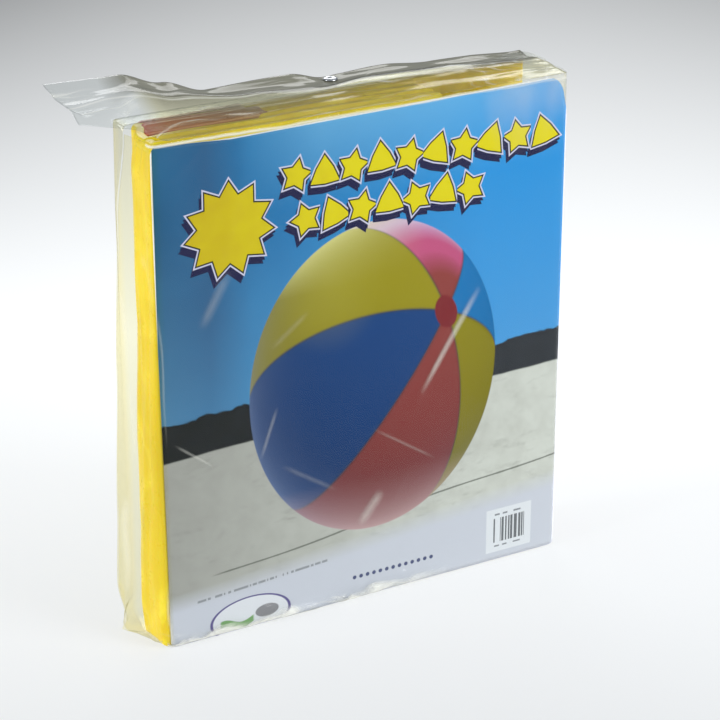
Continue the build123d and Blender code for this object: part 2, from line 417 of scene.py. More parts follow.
# --- Materials ----------------------------------------------------------------------------------------
def film_material(name, haze, crinkle, shine, tint, milk_and_highlights, cloud):
    """Clear vinyl film: it lets light through, mirrors it at a slant, and is milky where it is creased or doubled.

    tint gives the light that passes; milk_and_highlights the share of a cream layer, which is the milkiness of creased
    film together with painted highlights; and cloud the share of a darker olive layer, which is the dimming of doubled
    film together with painted shade.
    """
    material, tree, output = blank_material(name)
    x, y, z, place = place_fields(tree)
    folds = grain(tree, stretched(tree, place, (14, 14, 5)), 1.0, detail=2, distortion=0.6)
    fine = grain(tree, place, 95, detail=3, roughness=0.55)
    normal = bumped(tree, folds * 1.0 + fine * 0.03, crinkle, 3.0 * MM)
    clear = tree.nodes.new("ShaderNodeBsdfTransparent")
    plug(tree, tint(tree, x, y, z), clear.inputs["Color"])
    shader = clear.outputs[0]
    white, dark = milk_and_highlights(tree, x, y, z, place), cloud(tree, x, y, z, place)
    # the dark olive layer is doubled film and painted shade; the cream layer is the film's haze with painted highlights
    # on it
    layers = [((0.215, 0.21, 0.158), dark), ((0.95, 0.945, 0.87), (fine * 0.6 + folds * 0.8) * haze + white)]
    for ink, share in layers:
        body = tree.nodes.new("ShaderNodeBsdfDiffuse")
        plug(tree, ink, body.inputs["Color"])
        over = tree.nodes.new("ShaderNodeMixShader")
        plug(tree, share, over.inputs[0])
        tree.links.new(shader, over.inputs[1])
        tree.links.new(body.outputs[0], over.inputs[2])
        shader = over.outputs[0]
    gloss = tree.nodes.new("ShaderNodeBsdfGlossy")
    gloss.inputs["Roughness"].default_value = 0.1
    tree.links.new(normal, gloss.inputs["Normal"])
    slant = tree.nodes.new("ShaderNodeLayerWeight")
    slant.inputs["Blend"].default_value = 0.5
    tree.links.new(normal, slant.inputs["Normal"])
    mirror = Field(tree, slant.outputs["Facing"]).power(3.5) * shine + 0.005
    whole = tree.nodes.new("ShaderNodeMixShader")
    plug(tree, mirror, whole.inputs[0])
    tree.links.new(shader, whole.inputs[1])
    tree.links.new(gloss.outputs[0], whole.inputs[2])
    tree.links.new(whole.outputs[0], output.inputs[0])
    return material


def nearest_line(number, pitch, width, soft):
    """1 on evenly spaced lines, 0 between them."""
    turns = number / pitch
    return (turns - turns.work("ROUND")).size().under(width / pitch, soft / pitch)


def wall_tint_and_bounce(tree, x, y, z):
    # Left of the card the film lets through a cream tint: painted yellow light bounced from the ball's side.
    settings = bpy.context.scene.film_bag
    return lay(tree, (0.985, 0.968, 0.865), tuple(settings.tint), ((x + 156) / 6).share())


# Painted highlight streaks over the front film: start and end on the wall in millimetres, width and strength.
GLEAMS = [
    ((88, 216), (41, 145), 3.2, 0.34),
    ((-70, 161), (-83, 125), 2.0, 0.13),
    ((11, 80), (-8, 57), 5.0, 0.24),
    ((3, 128), (54, 94), 1.6, 0.10),
    ((-68, 117), (-24, 88), 2.4, 0.07),
    ((-125, 227), (-103, 264), 5.0, 0.10),
    ((-75, 202), (-45, 224), 3.0, 0.06),
    ((-146, 150), (-118, 128), 1.4, 0.18),
]


def gleam(x, z, start, end, width, strength):
    """A painted highlight: a soft bright streak between two points of the front wall."""
    a, b = Vector(start), Vector(end)
    way = (b - a).normalized()
    reach = (b - a).length
    forward = (x - a.x) * way.x + (z - a.y) * way.y
    aside = ((x - a.x) * -way.y + (z - a.y) * way.x).size()
    taper = (forward / (reach * 0.25)).share() * ((reach - forward) / (reach * 0.25)).share()
    return aside.under(width * 0.5, width) * taper * strength


def wall_milk_and_highlights(tree, x, y, z, place):
    """Painted highlights of the walls, laid on as white together with the milkiness of creased film: a line along the
    top edge of the card, lines down the left side, the crumpled foot, streaks over the front and glare at the top
    right.
    """
    bend = grain(tree, stretched(tree, place, (7, 7, 3.2)), 1.0, detail=2)
    patch = grain(tree, stretched(tree, place, (30, 30, 16)), 1.0, detail=2)
    front = y.under(-22, 2)
    # painted highlight along the film's fold over the card's top edge
    top = (z - 354.0 + (patch - 0.5) * 3).size().under(0.7, 1.5) * (0.95 - ((x + 150) / 300).share() * 0.7)
    left = x.under(-153, 4) * y.under(1, 3)
    # painted highlights on the slack film down the left side
    side = nearest_line(x + y * 0.35 + (bend - 0.5) * 46, 11.0, 0.3, 1.2) * (patch * 4 - 1.8).share() * left
    rumple = grain(tree, stretched(tree, place, (26, 26, 120)), 1.0, detail=4, distortion=1.0)
    # painted highlights and milkiness of the crumpled film along the foot
    foot = z.under(patch * 14 + 1, 4) * (rumple * 6 - 2.3).share() * (x - 20).under(10, 70)
    # painted highlight streaks over the front
    streaks = sum((gleam(x, z, *line) for line in GLEAMS), Field(tree, y.socket) * 0)
    # painted glare at the top right of the front
    glare = ((z - 300) / 55).share() * ((x - 60) / 60).share() * (patch - 0.42).share() * 0.7
    return ((top + foot * 0.95 + streaks + glare) * front + side * 0.55).share() * 0.6


def wall_cloud(tree, x, y, z, place):
    edge = nearest_line(x * 0.6 + y + 3, 1000, 0.5, 1.2) * x.under(-150, 3)
    return edge * 0.25


def mouth_tint_and_shade(tree, x, y, z):
    # The ear at the left lets through a grey tint; over the rest of the top the tint is darker and warmer, painted
    # shade where little light falls from above.
    return lay(tree, (0.89, 0.905, 0.905), (0.87, 0.86, 0.74), ((x + 152) / 14).share())


def mouth_milk_and_highlights(tree, x, y, z, place):
    """White lines of the mouth, partly the milkiness of creased film and partly painted highlights: the ridge, the long
    folds beside it, and the crumpled right end.
    """
    bend = grain(tree, stretched(tree, place, (9, 22, 9)), 1.0, detail=3)
    patch = grain(tree, stretched(tree, place, (24, 60, 24)), 1.0, detail=3)
    ridge = (y - 4.0 + (bend - 0.5) * 16).size().under(0.5, 1.3) * (patch * 3 - 0.9).share()
    folds = nearest_line(y + (bend - 0.5) * 60, 9.0, 0.3, 1.1) * (patch * 5 - 2.3).share()
    end = (x - 60) / 70
    rumple = nearest_line(y * 0.7 + x * 0.35 + (bend - 0.5) * 70, 7.0, 0.3, 1.2) * (patch * 4 - 1.5).share() * end.share()
    return (ridge + folds * 0.7 + rumple * 0.8).share() * 0.6


def mouth_layers_and_shade(tree, x, y, z, place):
    """The flap lies in several crumpled layers, which dim what is behind it; the dark olive layer laid on here is that
    dimming together with painted shade over the top of the stack.
    """
    patch = grain(tree, stretched(tree, place, (16, 50, 16)), 1.0, detail=3)
    flap = ((y - 5) / 6).share() * ((x + 165) / 40).share() * (1 - ((x - 80) / 70).share() * 0.35)
    left = (1 - (x + 60) / 70).share() * ((x + 152) / 20).share()
    # painted shade also dims the leaves seen just in front of the ridge at the left
    near = (1 - ((y - 5) / 6).share()) * ((y + 14) / 18).share() * left * (patch * 0.9)
    return (flap * (patch * 0.9 + 0.62 + left * 0.3) + near).share()


def vinyl_material(name, tint, crease=1.0, cover=None):
    """Soft glossy vinyl film, with pressed-in creases, fine wrinkles and a slightly uneven colour.

    cover is the shade at the top of the stack, where thin yellow film lies over this one, more of it to the right.
    """
    material, tree, output = blank_material(name)
    x, _, z, place = place_fields(tree)
    broad = grain(tree, stretched(tree, place, (22, 22, 9)), 1.0, detail=3)
    fine = grain(tree, place, 160, detail=4, roughness=0.6)
    bent = grain(tree, stretched(tree, place, (13, 13, 8)), 1.0, detail=2, distortion=1.4)
    ridge = 1 - ((bent - 0.5).size() * 16).share()
    dark = tuple(c * 0.78 for c in tint)
    body = lay(tree, dark, tint, (broad * 1.6 - 0.25).share())
    pale = tuple(min(1.0, c * 1.15 + 0.05) for c in tint)
    body = lay(tree, body, pale, ridge * 0.35 * crease)
    if cover:
        patchy = grain(tree, stretched(tree, place, (20, 60, 20)), 1.0, detail=3)
        hidden = ((z - 343) / 4).share() * ((x + 151) / 12).share() * (0.45 + ((x + 140) / 80).share() * 0.35)
        body = lay(tree, body, cover, hidden + (patchy - 0.5) * 0.5 * hidden)
    normal = bumped(tree, broad * 1.2 + fine * 0.14 + ridge * 0.35 * crease, 0.45, 1.8 * MM)
    surface(
        tree,
        output,
        Base_Color=body,
        Roughness=fine * 0.14 + 0.22,
        Normal=normal,
        Subsurface_Weight=0.12,
        Subsurface_Scale=0.004,
    )
    return material


def star_distance(x, y, points, tip, notch):
    """How far a point is outside a star's outline, in millimetres; negative inside."""
    turn = math.pi / points
    edge = Vector((notch * math.cos(turn) - tip, notch * math.sin(turn))).normalized()
    across = Vector((edge.y, -edge.x))
    reach = (x * x + y * y).root()
    angle = y.work("ARCTAN2", x).work("WRAP", turn, -turn).size()
    return reach * angle.cosine() * across.x + reach * angle.sine() * across.y - tip * across.x


def row_distance(tree, x, z, start, pitch, count, radius, seed):
    """Distance to a row of stars and pennants by turns, each with its own tilt and rise."""
    along_row = (x - start[0]) / pitch
    number = along_row.floor().most(0).least(count - 1)
    luck = chance(tree, number + seed)
    left = (along_row - number - 0.5) * pitch
    up = z - start[1] - (luck - 0.5) * 2.4
    tilt = (luck * 7.0).sine() * 0.35
    a = left * tilt.cosine() + up * tilt.sine()
    b = up * tilt.cosine() - left * tilt.sine()
    star = star_distance(b, a, 5, radius, radius * 0.56)
    pennant = star_distance(b, a + 0, 3, radius * 1.12, radius * 0.64)
    odd = (number * 0.5 - (number * 0.5).floor()) * 2
    return star + (pennant - star) * odd


def shapes_distance(tree, x, z):
    """Distance to everything of the headline: the sun and two rows."""
    sun = star_distance(z - 291, x + 102, 11, 32, 23)
    upper = row_distance(tree, x, z, (-64, 318), 21.2, 10, 11.2, 3)
    lower = row_distance(tree, x, z, (-57, 288.5), 21.0, 7, 11.2, 40)
    return sun.least(upper).least(lower)


def printed_ball(tree, below, x, z):
    """Picture of the blown-up ball: six gores round a cap, as a sphere seen from the side."""
    balls = bpy.context.scene.folded_ball
    u, v = (x - 6) / 96.5, (z - 165) / 113
    flat = u * u + v * v
    w = (1 - flat).most(0).root()
    pole = Vector((0.58, 0.329, 0))
    pole.z = math.sqrt(1 - pole.length_squared)
    side = Vector((0, 1, 0)).cross(pole).normalized()
    up = pole.cross(side)
    toward = u * pole.x + v * pole.y + w * pole.z
    angle = (u * up.x + v * up.y + w * up.z).work("ARCTAN2", u * side.x + v * side.y + w * side.z)
    turns = (angle - math.radians(45.2)) / math.radians(60)
    turns = turns - (turns / 6).floor() * 6
    pale, deep, yellow, blue, red = (
        tuple(ink)
        for ink in (balls.printed_pale, balls.printed_pink, balls.printed_yellow, balls.printed_blue, balls.printed_red)
    )
    ball = lay(tree, pale, deep, ((toward - 0.6) / 0.22).share())
    ball = lay(tree, ball, red, ((toward - 0.88) / 0.08).share())
    others = (yellow, blue, red, tuple(c * 0.9 for c in yellow), (0.004, 0.2, 0.55))
    for number, ink in enumerate(others, start=1):
        ball = lay(tree, ball, ink, (number - turns).under(0, 0.012))
    seam = ((turns - turns.work("ROUND")).size() * (1 - toward * toward).most(0).root()).under(0.012, 0.012)
    ball = lay(tree, ball, (0.05, 0.05, 0.06), seam * 0.45)
    ball = lay(tree, ball, (0.24, 0.018, 0.026), (-toward).under(-0.9935, 0.0015))
    lit = (u * 0.25 + v * 0.62 + w * 0.55).share()
    ball = lay(tree, ball, (0.0, 0.0, 0.005), (1 - lit) * 0.42)
    ball = lay(tree, ball, (0.5, 0.62, 0.95), (1 - w).power(1.8) * (0.08 - u * 0.14 - v * 0.16).share())
    ball = lay(tree, ball, (0.75, 0.52, 0.5), (-v - 0.62).share() * (1 - w).share() * 1.6)
    sheen = (((u + 0.35) * (u + 0.35) + (v - 0.66) * (v - 0.66)).root()).under(0.1, 0.7)
    ball = lay(tree, ball, (0.85, 0.8, 0.2), sheen * 0.18)
    ball = lay(tree, ball, (0.9, 0.88, 0.4), (v - 0.62).share() * (1 - w).share() * (0.4 - u).share() * 3)
    return lay(tree, below, ball, flat.root().under(0.995, 0.008))


def bars(tree, below, x, z):
    """A block of upright bars of chance widths on a white label."""
    label = ((x - 117).size() - 19).most((z - 24).size() - 17)
    below = lay(tree, below, srgb("EEF1F8"), label.under(0, 0.6) * 0.6)
    thin = chance(tree, (x / 0.62).floor() + 11).work("GREATER_THAN", 0.47)
    block = ((x - 117).size() - 13.5).most((z - 24).size() - 9.5)
    below = lay(tree, below, srgb("55585F"), block.under(0, 0.3) * thin * 0.9)
    tick = chance(tree, (x / 1.3).floor() + 70).work("GREATER_THAN", 0.4)
    lines = ((z - 36.5).size() - 0.7).least((z - 11.5).size() - 0.6).most((x - 116).size() - 11)
    return lay(tree, below, srgb("6A6E78"), lines.under(0, 0.3) * tick * 0.8)


def badge(tree, below, x, z):
    """A plain oval sticker with a leaf-green wave and a grey pebble."""
    u, v = (x + 92) / 30, (z - 9) / 15
    oval = (u * u + v * v).root()
    below = lay(tree, below, srgb("E6E8F2"), oval.under(1, 0.02) * 0.8)
    ring = (oval - 1).size().under(0.035, 0.02)
    below = lay(tree, below, srgb("4A3C86"), ring * 0.9)
    wave = (v + 0.18 - (u * 7).sine() * 0.13).size().under(0.16, 0.04) * (u + 0.35).size().under(0.42, 0.05)
    below = lay(tree, below, srgb("5C9A3C"), wave * 0.85)
    pebble = (((u - 0.42) * (u - 0.42) / 0.09) + ((v - 0.1) * (v - 0.1) / 0.10)).root()
    return lay(tree, below, srgb("6C6A70"), pebble.under(1, 0.1) * 0.8)


def print_material():
    """The printed card: a bright beach picture under a headline of plain shapes."""
    inks = bpy.context.scene.printed_card
    material, tree, output = blank_material("printed card")
    x, _, z, place = place_fields(tree)
    cloud = grain(tree, place, 9, detail=4, roughness=0.6)
    speck = grain(tree, place, 420, detail=2)
    rough = grain(tree, place, 70, detail=5, roughness=0.65)

    across = ((x + 150) / 240).share()
    # The sky darkens to the left: partly the picture's own sky, partly painted shade where the light on the card falls
    # off.
    sky = lay(tree, tuple(inks.sky_left), tuple(inks.sky_right), across.power(0.8))
    sky = lay(tree, sky, srgb("7FB6DE"), (320 - z).share() * ((300 - z) / 260).share() * 0.55)
    sky = lay(tree, sky, (0.08, 0.42, 0.8), (cloud - 0.4).share() * 0.5)
    # Painted shade: a darker upright band near the card's left edge, where the card bows.
    shade = ((x + 118).size() / 26).under(0.6, 1.2) * ((z - 60) / 180).share()
    sky = lay(tree, sky, (0.03, 0.075, 0.18), shade * 0.5)
    # Painted highlight: the sky grows paler towards the top of the card, standing for the film's reflection.
    gleam = ((z - 296) / 70).share() * ((x + 95) / 60).share() * (1 - ((x - 60) / 110).share() * 0.6)
    sky = lay(tree, sky, (0.25, 0.62, 0.95), gleam * 0.55)

    hill_top = x * 0.027 + 168 + (rough - 0.5) * 9 + (grain(tree, place, 18, detail=2) - 0.5) * 10
    hill_foot = x * 0.034 + 142 + (cloud - 0.5) * 6
    hills = lay(tree, tuple(inks.hills), (0.03, 0.036, 0.05), across * 0.7 + (rough - 0.5) * 0.8)
    picture = lay(tree, sky, hills, z.under(hill_top, 1.2))
    steps = grain(tree, stretched(tree, place, (60, 60, 150)), 1.0, detail=4, roughness=0.7)
    sand = lay(tree, tuple(inks.sand), (0.36, 0.36, 0.335), (cloud * 0.4 + rough * 0.6 - 0.42).share() * 1.6)
    sand = lay(tree, sand, (0.25, 0.25, 0.235), (steps - 0.56).share() * 2.2)
    # Painted shade: the sand darkens to the left, where the light on the card falls off.
    sand = lay(tree, sand, (0.28, 0.275, 0.265), (1 - across) * 0.72)
    picture = lay(tree, picture, sand, z.under(hill_foot, 1.4))

    shore = x * 0.1057 + 58.8 + (x / 31).sine() * 1.5
    tide = (z - shore).size().under((rough * 0.9 + 0.2), 0.5) * (-x).under(116, 12)
    picture = lay(tree, picture, srgb("6E726C"), tide * 0.85)
    panel_edge = x * 0.069 + 43.5 + (cloud - 0.5) * 8
    picture = lay(tree, picture, tuple(inks.panel), z.under(panel_edge, 14))
    small = chance(tree, (x / 1.1).floor() + 5).work("GREATER_THAN", 0.3)
    note = (z - 38 - x * 0.06).size().under(0.9, 0.4) * (x + 82).size().under(50, 0.5) * small
    picture = lay(tree, picture, srgb("585C60"), note * 0.55)
    beads = ((x / 5.2) - (x / 5.2).work("ROUND")) * 5.2
    beads = (beads * beads + (z - 17) * (z - 17)).root().under(1.5, 0.5) * (x - 21).size().under(33, 0.4)
    picture = lay(tree, picture, srgb("2E3A6E"), beads * 0.9)

    picture = printed_ball(tree, picture, x, z)
    picture = bars(tree, picture, x, z)
    picture = badge(tree, picture, x, z)

    headline = shapes_distance(tree, x, z)
    half_drop = shapes_distance(tree, x + 1.2, z + 2.6)
    full_drop = shapes_distance(tree, x + 2.4, z + 5.0)
    picture = lay(tree, picture, srgb("1B1C4A"), half_drop.least(full_drop).under(1.6, 0.4))
    picture = lay(tree, picture, srgb("D6D4F0"), headline.under(1.9, 0.4))
    picture = lay(tree, picture, srgb("1D2218"), headline.under(0.9, 0.4))
    fill = lay(tree, tuple(inks.shapes), (0.55, 0.37, 0.004), (0.75 - across * 1.3 + (rough - 0.5) * 0.8).share())
    picture = lay(tree, picture, fill, headline.under(-0.1, 0.4))

    top_rim = z - 350.7 - ((x + 100) * 0.0135).most((x + 100) * -0.07)
    rim = (x.size() - 155.0).most(top_rim).under(0, 0.3)
    picture = lay(tree, srgb("F2F4F8"), picture, rim)
    surface(
        tree,
        output,
        Base_Color=picture,
        Roughness=speck * 0.1 + 0.4,
        Specular_IOR_Level=0.1,
    )
    return material


def metal_material():
    """Bright plated steel with faint scratches."""
    material, tree, output = blank_material("plated metal")
    _, _, _, place = place_fields(tree)
    rub = grain(tree, stretched(tree, place, (300, 2400, 300)), 1.0, detail=4)
    wear = grain(tree, place, 700, detail=3)
    tone = lay(tree, srgb("8E9094"), srgb("D4D6DA"), (wear * 1.8 - 0.4).share())
    surface(
        tree,
        output,
        Base_Color=tone,
        Metallic=1.0,
        Roughness=rub * 0.2 + 0.12,
        Normal=bumped(tree, rub, 0.15, 0.1 * MM),
    )
    return material


# --- The bag ------------------------------------------------------------------------------------------
LEFT_EDGE = [(0, -0.158), (0.012, -0.1715), (0.045, -0.1775), (0.10, -0.1755), (0.20, -0.172), (0.30, -0.1675), (0.357, -0.1605)]
RIGHT_EDGE = [(0, 0.150), (0.014, 0.1575), (0.2, 0.1585), (0.357, 0.1565)]


def wall_point(u, z, side):
    """Point of one half of the bag at a height: from the right weld, round the wall, to the left crease."""
    wall = (WALL_FRONT if side < 0 else WALL_BACK) + side * 0.1 * MM
    chain = [
        Vector((curve_value(RIGHT_EDGE, z), 0)),
        Vector((HALF_CARD + 4.2 * MM, wall * 0.6)),
        Vector((HALF_CARD + 3.4 * MM, wall)),
        Vector((-HALF_CARD - mix(0.6, 4.2, eased(z, 0.02, 0.33)) * MM, wall)),
        Vector((mix(-HALF_CARD, curve_value(LEFT_EDGE, z), 0.42), wall * 0.62)),
        Vector((curve_value(LEFT_EDGE, z), 0)),
    ]
    return softened(chain, u)


def wall_waves(u, z, side):
    """How far the film stands off, from 0 outwards: slack at the left, crumpled along the foot."""
    film = bpy.context.scene.film_bag
    x = mix(0.158, -0.175, u)
    broad = 0.5 + 0.5 * waves(x * 9, z * 7, side, 1)
    slant = 0.5 + 0.5 * waves(x * 16 + z * 22, z * 9 - x * 6, side, 2)
    foot = eased(0.030 - z, 0, 0.030)
    crumple = abs(waves(x * 38, z * 110, side, 3)) + 0.5 * abs(waves(x * 90, z * 150, side, 4))
    top = eased(z, 0.325, 0.356)
    swell = foot * (1 - eased(x, 0.03, 0.13)) * (1.5 + 5 * crumple)
    return film.wall_waves * (0.7 * broad + 0.6 * slant ** 3 + 2.2 * foot * crumple + swell + 0.8 * top * crumple)


def crease(x, z, start, end, width, height):
    """A raised straight fold between two points of the wall, fading at both ends."""
    a, b, p = Vector(start), Vector(end), Vector((x, z))
    t = (p - a).dot(b - a) / (b - a).length_squared
    off = (p - a - (b - a) * t).length / width
    return height * math.exp(-off * off) * eased(t, -0.1, 0.15) * (1 - eased(t, 0.85, 1.1))


FRONT_CREASES = [
    ((0.068, 0.205), (0.035, 0.135), 2.6, 0.9),
    ((0.030, 0.088), (0.004, 0.050), 2.2, 0.8),
    ((-0.128, 0.225), (-0.090, 0.330), 3.2, 0.8),
    ((-0.140, 0.150), (-0.104, 0.132), 1.2, 0.5),
    ((0.095, 0.335), (0.148, 0.300), 2.4, 0.9),
    ((-0.030, 0.120), (0.040, 0.138), 1.2, 0.4),
    ((0.060, 0.110), (0.120, 0.150), 1.6, 0.4),
    ((-0.145, 0.330), (-0.118, 0.352), 1.8, 1.2),
]


def wall_film(side):
    """Half of the bag: its base, its wall with the side returns, and, at the back, the lip over the top."""
    wall = WALL_FRONT if side < 0 else WALL_BACK
    profile = [Vector((0.0, 0.45 * MM)), Vector((0.95, 0.45 * MM)), Vector((1, 5 * MM)), Vector((1, BAG_TOP - 2 * MM))]
    profile += [Vector((0.985, BAG_TOP))] if side < 0 else [Vector((0.985, BAG_TOP + 0.9 * MM)), Vector((0.36, BAG_TOP + 0.9 * MM))]
    # depth is a share of half the bag, so it is made a length before the chain is measured
    profile = [Vector((p.x * abs(wall), p.y)) for p in profile]

    def place(u, v):
        at = softened(profile, v, 0.004)
        depth, z = at.x / abs(wall), at.y
        point = wall_point(u, max(z, 0), side)
        off = wall_waves(u, z, side) * eased(z, 0, 6 * MM)
        if side < 0:
            off += sum(crease(point.x, z, a, b, w * MM, h * MM) for a, b, w, h in FRONT_CREASES)
        out = Vector((-1 if u > 0.5 else 1, 0)) if abs(point.y) < abs(wall) * 0.75 else Vector((0, side))
        slack = 1.4 if abs(point.y) < abs(wall) * 0.75 and u > 0.5 else 1.0
        point = point + out * off * slack
        return Vector((point.x, point.y * depth, z))

    return grid(150, 190, place)


class BagWalls(bpy.types.Operator):
    """Both halves of the clear bag, which stand from the base to the fold at the top"""

    bl_idname = "beach_ball.bag_walls"
    bl_label = "Bag walls"

    def execute(self, context):
        film = context.scene.film_bag
        clear = film_material("clear film", 0.006, 0.2, 0.3, wall_tint_and_bounce, wall_milk_and_highlights, wall_cloud)
        finished(
            "bag_front", wall_film(-1), clear, "bag", "clear_film", ["bag_front_film"], thickness=film.thickness
        )
        finished("bag_back", wall_film(1), clear, "bag", "clear_film", ["bag_back_film"], thickness=film.thickness)
        return {"FINISHED"}


RIDGE_LINE = [(-0.198, 0.377), (-0.156, 0.381), (-0.118, 0.373), (-0.072, 0.3665), (-0.013, 0.3635), (0.017, 0.3655), (0.079, 0.3643), (0.118, 0.3608), (0.152, 0.3578)]
BACK_LINE = [(-0.201, 0.387), (-0.150, 0.3855), (-0.120, 0.376), (-0.088, 0.3665), (-0.028, 0.3675), (0.000, 0.3618), (0.010, 0.3622), (0.045, 0.3632), (0.082, 0.3603), (0.110, 0.3598), (0.152, 0.3572)]


def mouth_edges(x):
    """The three lines of the folded mouth at one place along it: front edge, ridge and back edge."""
    ear = 1 - eased(x, -0.159, -0.143)
    front = Vector((mix(WALL_FRONT - 0.2 * MM, -7 * MM, ear), mix(BAG_TOP - 0.6 * MM, 0.3605 + max(-0.158 - x, 0) * 0.24, ear)))
    ridge = Vector((6.6 * MM, curve_value(RIDGE_LINE, x)))
    back = Vector((31 * MM, curve_value(BACK_LINE, x)))
    return front, ridge, back


def mouth_point(u, v):
    """Point of the folded mouth, whose two films close up at the edges: v runs over the top and back beneath."""
    film = bpy.context.scene.film_bag
    under = v > 0.5
    v = 2 * min(v, 1 - v)
    x = mix(mix(-0.194, -0.201, v), 0.1545, u)
    front, ridge, back = mouth_edges(x)
    ear = 1 - eased(x, -0.162, -0.146)
    right_end = eased(x, 0.085, 0.13)
    swell = mix(front, ridge, 0.55) + Vector((0, (0.8 + 1.8 * ear) * MM))
    sag = mix(ridge, back, 0.5) - Vector((0, (1.2 + 1.5 * ear) * MM))
    at = softened([front, swell, ridge, sag, back], v, 0.02)
    long_fold = waves(x * 11, v * 4.5, 0, 11) + 0.5 * waves(x * 24, v * 9, 0, 12)
    pleat = abs(waves(x * 34, v * 3, 0, 13))
    near_snap = math.exp(-((x - SNAP_X) ** 2 + (at.x - SNAP_Y) ** 2) / (8 * MM) ** 2)
    hold = eased(v, 0, 0.16) * (1 - 0.85 * near_snap)
    height = film.mouth_waves * hold * (0.5 * long_fold + right_end * 0.3 * pleat + ear * 0.3 * pleat)
    z = mix(at.y + height, RIDGE_Z + 0.15 * MM, near_snap)
    y = at.x + film.mouth_waves * 0.35 * waves(x * 20, v * 5, 3, 11) * eased(v, 0.1, 0.4)
    if under:
        ends = min(eased(u, 0, 0.03), 1 - eased(u, 0.97, 1)) * math.sin(math.pi * v) ** 0.5
        slack = 0.5 + 0.9 * eased(v, 0.45, 0.7) * (0.6 + waves(x * 15, v * 5, 7, 14)) + 6.5 * ear * math.sin(math.pi * v)
        z -= max(slack, 0.4) * MM * ends * (1 - 0.8 * near_snap)
    return Vector((x, y, z))


SNAP_X, SNAP_Y = (SNAP[0].x + SNAP[1].x) / 2, (SNAP[0].y + SNAP[1].y) / 2


class BagMouth(bpy.types.Operator):
    """The bag's mouth, folded back over the top, with the ear that stands out at the left"""

    bl_idname = "beach_ball.bag_mouth"
    bl_label = "Bag mouth"

    def execute(self, context):
        clear = film_material("mouth film", 0.04, 0.4, 0.42, mouth_tint_and_shade, mouth_milk_and_highlights, mouth_layers_and_shade)
        shape = grid(200, 80, mouth_point)
        bmesh.ops.remove_doubles(shape, verts=shape.verts, dist=0.01 * MM)
        piece = finished("bag_mouth", shape, clear, None, "clear_film", ["closure_flap_film"])
        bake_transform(piece)
        return {"FINISHED"}


# --- The folded ball ----------------------------------------------------------------------------------
def left_round(y):
    """How far the stack's left side is set back, which rounds its rear corner."""
    return 13.5 * MM * min(max(y / 26.4 / MM, 0), 1) ** 1.15


def folded_edges(shape, low, high, layers, depth, seed, top_only=False):
    """Presses the side edges of a leaf into rounded folds, one for each layer of film."""
    middle = (Vector(low) + Vector(high)) / 2
    thick = high[1] - low[1]
    for vert in shape.verts:
        x, y, z = vert.co
        at_side = min(abs(x - low[0]), abs(high[0] - x)) < 3 * MM
        at_end = high[2] - z < 3 * MM
        wander = 0.35 * waves(x * 12, z * 14, 0, seed)
        fold = abs(math.sin(math.pi * (layers * (y - low[1]) / thick + wander)))
        reach = depth * (fold - 0.6) + 0.9 * MM * waves(x * 14, y * 380, z * 11, seed + 1)
        if at_side:
            vert.co.x += math.copysign(reach, x - middle.x)
        if at_end:
            vert.co.z += min(reach, 0)
        vert.co.x += left_round(y) * max(0, 1 - (x - low[0]) / 0.1)
        vert.co.y += 0.25 * MM * waves(x * 16, 0, z * 16, seed + 2)
    return shape


def back_relief(x, z, centre, rim):
    """How far the back leaf is pressed in: puckers that run out from the welded pole patch, and folds across."""
    dx, dz = x - centre.x, z - centre.z
    reach, angle = math.hypot(dx, dz), math.atan2(dz, dx)
    fan = eased(reach, rim * 0.95, rim * 1.25) * (1 - eased(reach, rim * 2.0, rim * 3.4))
    puckers = abs(math.sin(angle * 9 + 1.3 * waves(angle, reach * 9, 0, 81))) ** 0.6
    seams = min(abs(math.sin(angle * 3 + 0.5)) * reach / 3 / MM, 1)
    across = abs(waves(x * 6, z * 13, 0, 82)) + 0.5 * abs(waves(x * 15, z * 9, 0, 83))
    return (fan * (1.0 * puckers + 0.7 * (1 - seams)) + 1.5 * across * eased(reach, rim, rim * 1.6)) * MM


def back_leaf():
    """The back leaf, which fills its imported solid."""
    low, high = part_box("gore_yellow_b")
    depth = bpy.context.scene.folded_ball.fold_depth
    low, high = low + Vector((1, 0.1, 0.2)) * MM, high - Vector((1, 0.1, 0.6)) * MM
    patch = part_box("pole_patch_bottom")
    centre, rim = (patch[0] + patch[1]) / 2, (patch[1].x - patch[0].x) / 2
    shape = folded_edges(pad(low, high, 1.6 * MM, 110), low, high, 4, depth, 4)
    for vert in shape.verts:
        face_share = eased(vert.co.y, high.y - 3 * MM, high.y - 0.6 * MM)
        vert.co.y -= back_relief(vert.co.x, vert.co.z, centre, rim) * face_share
    return shape


SIDE_SWELL = [(0, 2.5), (0.03, 4.6), (0.12, 3.4), (0.24, 0.6), (0.33, 0.2), (0.355, -2.5)]


def wrap_point(point, low, high):
    """Shapes the outermost fold at the left edge: it swells towards the foot and carries soft upright folds."""
    x, y, z = point
    out = min(max((high.x - x) / (high.x - low.x), 0), 1)
    across = (y - low.y) / (high.y - low.y)
    swell = curve_value(SIDE_SWELL, z) * math.sin(math.pi * min(across * 1.05 + 0.05, 1)) ** 0.6
    wander = 0.11 * waves(0, across * 2, z * 9, 50) + 0.03 * waves(0, across * 3, z * 30, 52)
    lines = abs(math.sin(math.pi * (across * 3.6 + wander * 6))) ** 0.7 - 0.7
    fine = waves(0, across * 11, z * 16, 53)
    soft = waves(0, across * 3.5, z * 14, 51)
    dents = waves(0, across * 6, z * 48, 54) * 0.5
    relief = 0.9 * lines + 0.7 * fine + 1.3 * soft + 0.6 * dents
    return Vector((x + left_round(y) - (swell + relief * eased(across, 0, 0.2)) * MM * out, y, z))


